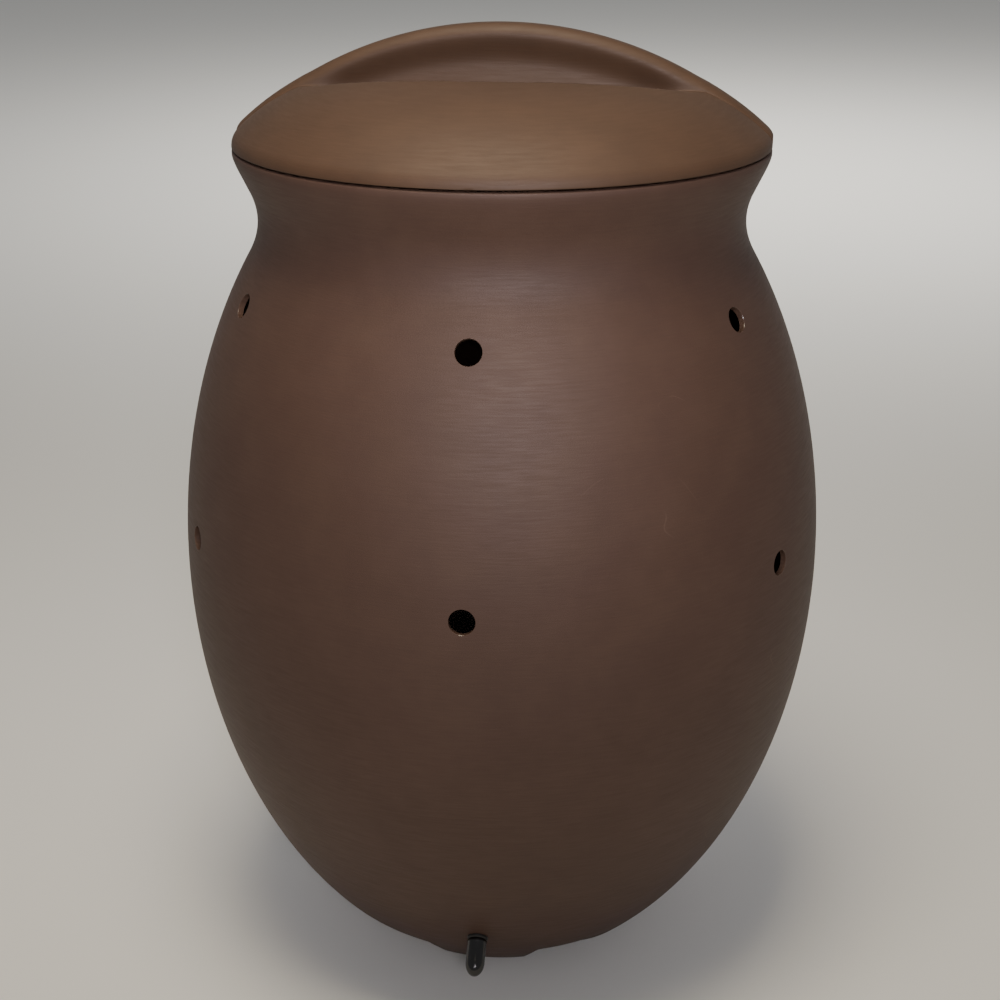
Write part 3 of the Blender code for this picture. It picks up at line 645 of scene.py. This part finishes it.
# Drain: an injection-moulded nipple of black nylon, pushed through the wall from outside. A nut inside
# holds it over a rubber gasket, and a strainer keeps the compost out of its bore.
black_nylon = bpy.data.materials.new("black_nylon")
black_nylon.use_nodes = True
black_shader = black_nylon.node_tree.nodes["Principled BSDF"]
black_place = add(black_nylon, "TexCoord").outputs["Object"]
black_noise = add(black_nylon, "TexNoise", {"Scale": 700.0, "Detail": 3.0}, {"Vector": black_place})
black_rough = add(black_nylon, "MapRange", {"To Min": 0.3, "To Max": 0.5},
                  {"Value": black_noise.outputs[0]})
black_nylon.node_tree.links.new(black_rough.outputs[0], black_shader.inputs["Roughness"])
black_shader.inputs["Base Color"].default_value = linear("1a1a1a")
black_shader.inputs["IOR"].default_value = 1.53
drain = wall_place(drain_height)
flange_top = 0.0028
spout_length = 0.022
spout_end = flange_top + spout_length
spout_radius = 0.0055
spout_root = spout_radius - 0.0009
bore = 0.0038
nipple_flange = 0.0095
flange_low = 0.0003
barrel_end = -0.026
barb_pitch = 0.0035
barbs = []
for i in range(4):
    start = spout_end - 0.001 - i * barb_pitch
    barbs += [(spout_root, start), (spout_radius, start - 0.0025), (spout_root, start - 0.0026)]
nipple_mesh = turn([
    (bore, spout_end), (spout_radius - 0.0010, spout_end), *barbs,
    (spout_root, flange_top + 0.0006), (spout_radius - 0.0003, flange_top),
    (0.0089, flange_top), (nipple_flange, flange_top - 0.0006), (nipple_flange, flange_low),
    (barrel_radius, flange_low), (barrel_radius, barrel_end), (bore, barrel_end),
], 40)
bmesh.ops.transform(nipple_mesh, matrix=drain, verts=nipple_mesh.verts)
nipple = make("drain_nipple_fine", nipple_mesh, black_nylon)
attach(nipple, "vessel")
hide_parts("drain_nipple")
inner_pieces = {"drain_locknut": black_nylon, "drain_strainer": black_nylon, "drain_gasket": rubber}
for node_name, finish in inner_pieces.items():
    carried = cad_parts[node_name]
    carried.data.materials.clear()
    carried.data.materials.append(finish)

# Cap: dip-moulded black vinyl, glossy as it comes off its former, with a rolled bead at its mouth. It
# is stretched over the nipple's barbs and pulled off by hand.
cap_radius = 0.0092
cap_wall = 0.0033
cap_length = 0.034
vinyl = bpy.data.materials.new("dipped_vinyl")
vinyl.use_nodes = True
vinyl_shader = vinyl.node_tree.nodes["Principled BSDF"]
vinyl_place = add(vinyl, "TexCoord").outputs["Object"]
vinyl_noise = add(vinyl, "TexNoise", {"Scale": 120.0, "Detail": 3.0}, {"Vector": vinyl_place})
vinyl_rough = add(vinyl, "MapRange", {"To Min": 0.10, "To Max": 0.26}, {"Value": vinyl_noise.outputs[0]})
vinyl_relief = add(vinyl, "Bump", {"Strength": 0.15, "Distance": 0.0005},
                   {"Height": vinyl_noise.outputs[0]})
vinyl.node_tree.links.new(vinyl_rough.outputs[0], vinyl_shader.inputs["Roughness"])
vinyl.node_tree.links.new(vinyl_relief.outputs[0], vinyl_shader.inputs["Normal"])
vinyl_shader.inputs["Base Color"].default_value = linear("0d0c0d")
vinyl_shader.inputs["IOR"].default_value = 1.53
cap_low = flange_top + 0.0003
cap_end = cap_low + cap_length
cap_nose = 0.0125  # the tip is drawn out, as the vinyl drips off its former
shoulder = cap_end - cap_nose
slim = cap_radius - 0.0005
cap_bore = cap_radius - cap_wall
cap_outline = [(slim * math.sin(a), shoulder + cap_nose * math.cos(a)) for a in
               [math.radians(7.5 * i) for i in range(13)]]
cap_outline += [
    (slim, cap_low + 0.0042), (cap_radius - 0.0003, cap_low + 0.0036), (cap_radius, cap_low + 0.0022),
    (cap_radius - 0.0003, cap_low + 0.0006), (cap_radius - 0.0011, cap_low), (cap_bore, cap_low),
    (cap_bore, shoulder - 0.001), (cap_bore - 0.002, shoulder), (0, shoulder),
]
cap_mesh = turn(cap_outline, 48)
bmesh.ops.transform(cap_mesh, matrix=drain, verts=cap_mesh.verts)
cap = make("drain_cap_fine", cap_mesh, vinyl)
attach(cap, "cap")
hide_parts("drain_cap")

# Studio: a pale matt floor. A big warm lamp hangs overhead and in front, a small cool one stands beside
# the camera, and a third lights the floor behind the vessel.
floor_mesh = bmesh.new()
bmesh.ops.create_grid(floor_mesh, x_segments=1, y_segments=1, size=12.0)
floor_paint = bpy.data.materials.new("pale_floor")
floor_paint.use_nodes = True
floor_paint.node_tree.nodes["Principled BSDF"].inputs["Base Color"].default_value = linear("e6e6e3")
floor_paint.node_tree.nodes["Principled BSDF"].inputs["Roughness"].default_value = 0.8
floor = make("floor", floor_mesh, floor_paint)


def lamp(name, place, target, size, power, colour, spread=180):
    """A square soft lamp at a place, turned to a target, with its spread in degrees."""
    light = bpy.data.lights.new(name, "AREA")
    light.spread = math.radians(spread)
    light.size = size
    light.energy = power
    light.color = linear(colour)[:3]
    obj = bpy.data.objects.new(name, light)
    bpy.context.scene.collection.objects.link(obj)
    obj.location = place
    obj.rotation_euler = (Vector(target) - Vector(place)).to_track_quat("-Z", "Y").to_euler()


middle = (0.0, 0.0, belly_z)
lamp("overhead", (-0.10, -0.50, 2.6), middle, 0.9, 46.0, "fff0d6")
lamp("beside_camera", (0.32, -2.0, 1.30), (0.0, 0.0, 0.72), 0.35, 3.0, "fdf6fb", 46)
lamp("backdrop", (0.3, 3.4, 3.4), (0.3, 5.4, 0.0), 1.6, 120.0, "fffaf2", 130)
world = bpy.data.worlds.new("studio")
bpy.context.scene.world = world
world.use_nodes = True
world.node_tree.nodes["Background"].inputs["Color"].default_value = linear("ffffff")
world.node_tree.nodes["Background"].inputs["Strength"].default_value = 0.30

# Camera: in front and a little to one side, just above the lid's height and looking down.
view_turn = math.radians(6.2)
view_pitch = math.radians(21.27)
view_distance = 1.502
view_height = 1.024
camera = bpy.data.cameras.new("camera")
camera.lens = 60.1
camera.sensor_width = 36.0
camera.shift_x = -0.002
camera_object = bpy.data.objects.new("camera", camera)
bpy.context.scene.collection.objects.link(camera_object)
camera_object.location = (view_distance * math.sin(view_turn),
                          -view_distance * math.cos(view_turn), view_height)
camera_object.rotation_euler = (math.pi / 2 - view_pitch, 0, view_turn)
bpy.context.scene.camera = camera_object
